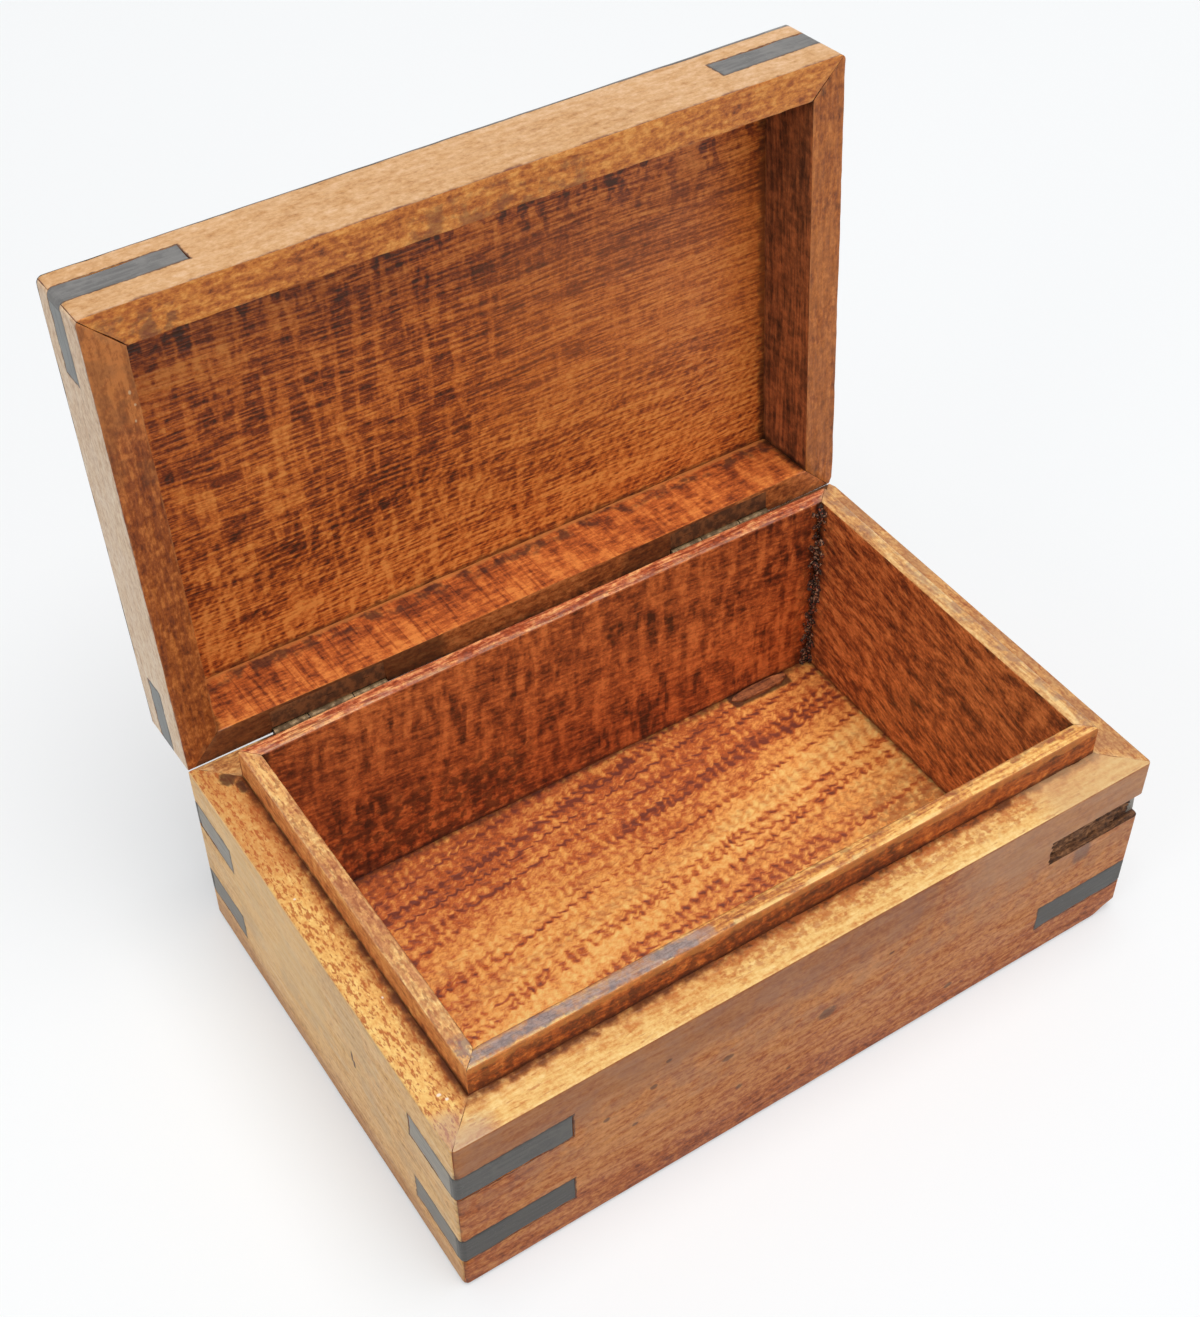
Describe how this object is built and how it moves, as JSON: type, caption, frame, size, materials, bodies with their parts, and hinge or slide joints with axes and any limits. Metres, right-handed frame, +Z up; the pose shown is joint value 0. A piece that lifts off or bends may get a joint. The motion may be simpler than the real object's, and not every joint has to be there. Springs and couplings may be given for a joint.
{
  "type": "hinged stationery box",
  "caption": "Mitred hardwood box for papers and keepsakes, with a raised liner, dark strips let in across the corners and a lid on two butt hinges.",
  "frame": {"origin": "centre of the base's underside, where the box stands", "axes": "+X along the box's length to the right, +Y from the front to the hinged back, +Z up; the lid is open at rest"},
  "size_m": [0.18, 0.1451, 0.1664],
  "materials": {
    "board_wood": "red-brown tropical hardwood, oiled and worn, mid gloss",
    "liner_wood": "the same hardwood, darker inside the box",
    "floor_wood": "the same hardwood, dark streaks along the length",
    "rail_wood": "the same hardwood, oiled and worn",
    "panel_wood": "the same hardwood with a rippled figure",
    "dark_strip": "dark grey inlay, satin, slightly worn",
    "hinge_brass": "tarnished rolled brass sheet",
    "hinge_pin": "drawn wire, dull",
    "screw": "slotted countersunk heads, tarnished"
  },
  "bodies": {
    "base": {"base_front_board": "board_wood", "base_back_board": "board_wood", "base_left_board": "board_wood", "base_right_board": "board_wood", "base_floor": "floor_wood", "liner_front": "liner_wood", "liner_back": "liner_wood", "liner_left": "liner_wood", "liner_right": "liner_wood", "strip_front_left_lower_long": "dark_strip", "strip_front_left_lower_short": "dark_strip", "strip_front_right_lower_long": "dark_strip", "strip_front_right_lower_short": "dark_strip", "strip_back_left_lower_long": "dark_strip", "strip_back_left_lower_short": "dark_strip", "strip_back_right_lower_long": "dark_strip", "strip_back_right_lower_short": "dark_strip", "strip_front_left_upper_long": "dark_strip", "strip_front_left_upper_short": "dark_strip", "strip_front_right_upper_short": "dark_strip", "strip_back_left_upper_long": "dark_strip", "strip_back_left_upper_short": "dark_strip", "strip_back_right_upper_long": "dark_strip", "strip_back_right_upper_short": "dark_strip", "hinge_left_base_leaf": "hinge_brass", "hinge_left_pin": "hinge_pin", "hinge_left_base_screws": "screw", "hinge_right_base_leaf": "hinge_brass", "hinge_right_pin": "hinge_pin", "hinge_right_base_screws": "screw"},
    "lid": {"lid_front_rail": "rail_wood", "lid_back_rail": "rail_wood", "lid_left_rail": "rail_wood", "lid_right_rail": "rail_wood", "lid_panel": "panel_wood", "lid_border_front": "dark_strip", "lid_border_back": "dark_strip", "lid_border_left": "dark_strip", "lid_border_right": "dark_strip", "strip_front_left_lid_long": "dark_strip", "strip_front_left_lid_short": "dark_strip", "strip_front_right_lid_long": "dark_strip", "strip_front_right_lid_short": "dark_strip", "strip_back_left_lid_long": "dark_strip", "strip_back_left_lid_short": "dark_strip", "strip_back_right_lid_long": "dark_strip", "strip_back_right_lid_short": "dark_strip", "hinge_left_lid_leaf": "hinge_brass", "hinge_left_lid_screws": "screw", "hinge_right_lid_leaf": "hinge_brass", "hinge_right_lid_screws": "screw"}
  },
  "joints": [
    {"name": "lid_hinge", "type": "hinge", "parent": "base", "child": "lid", "pos_m": [0, 0.057, 0.05125], "axis": [1, 0, 0], "range_deg": [0, 94.5]}
  ]
}
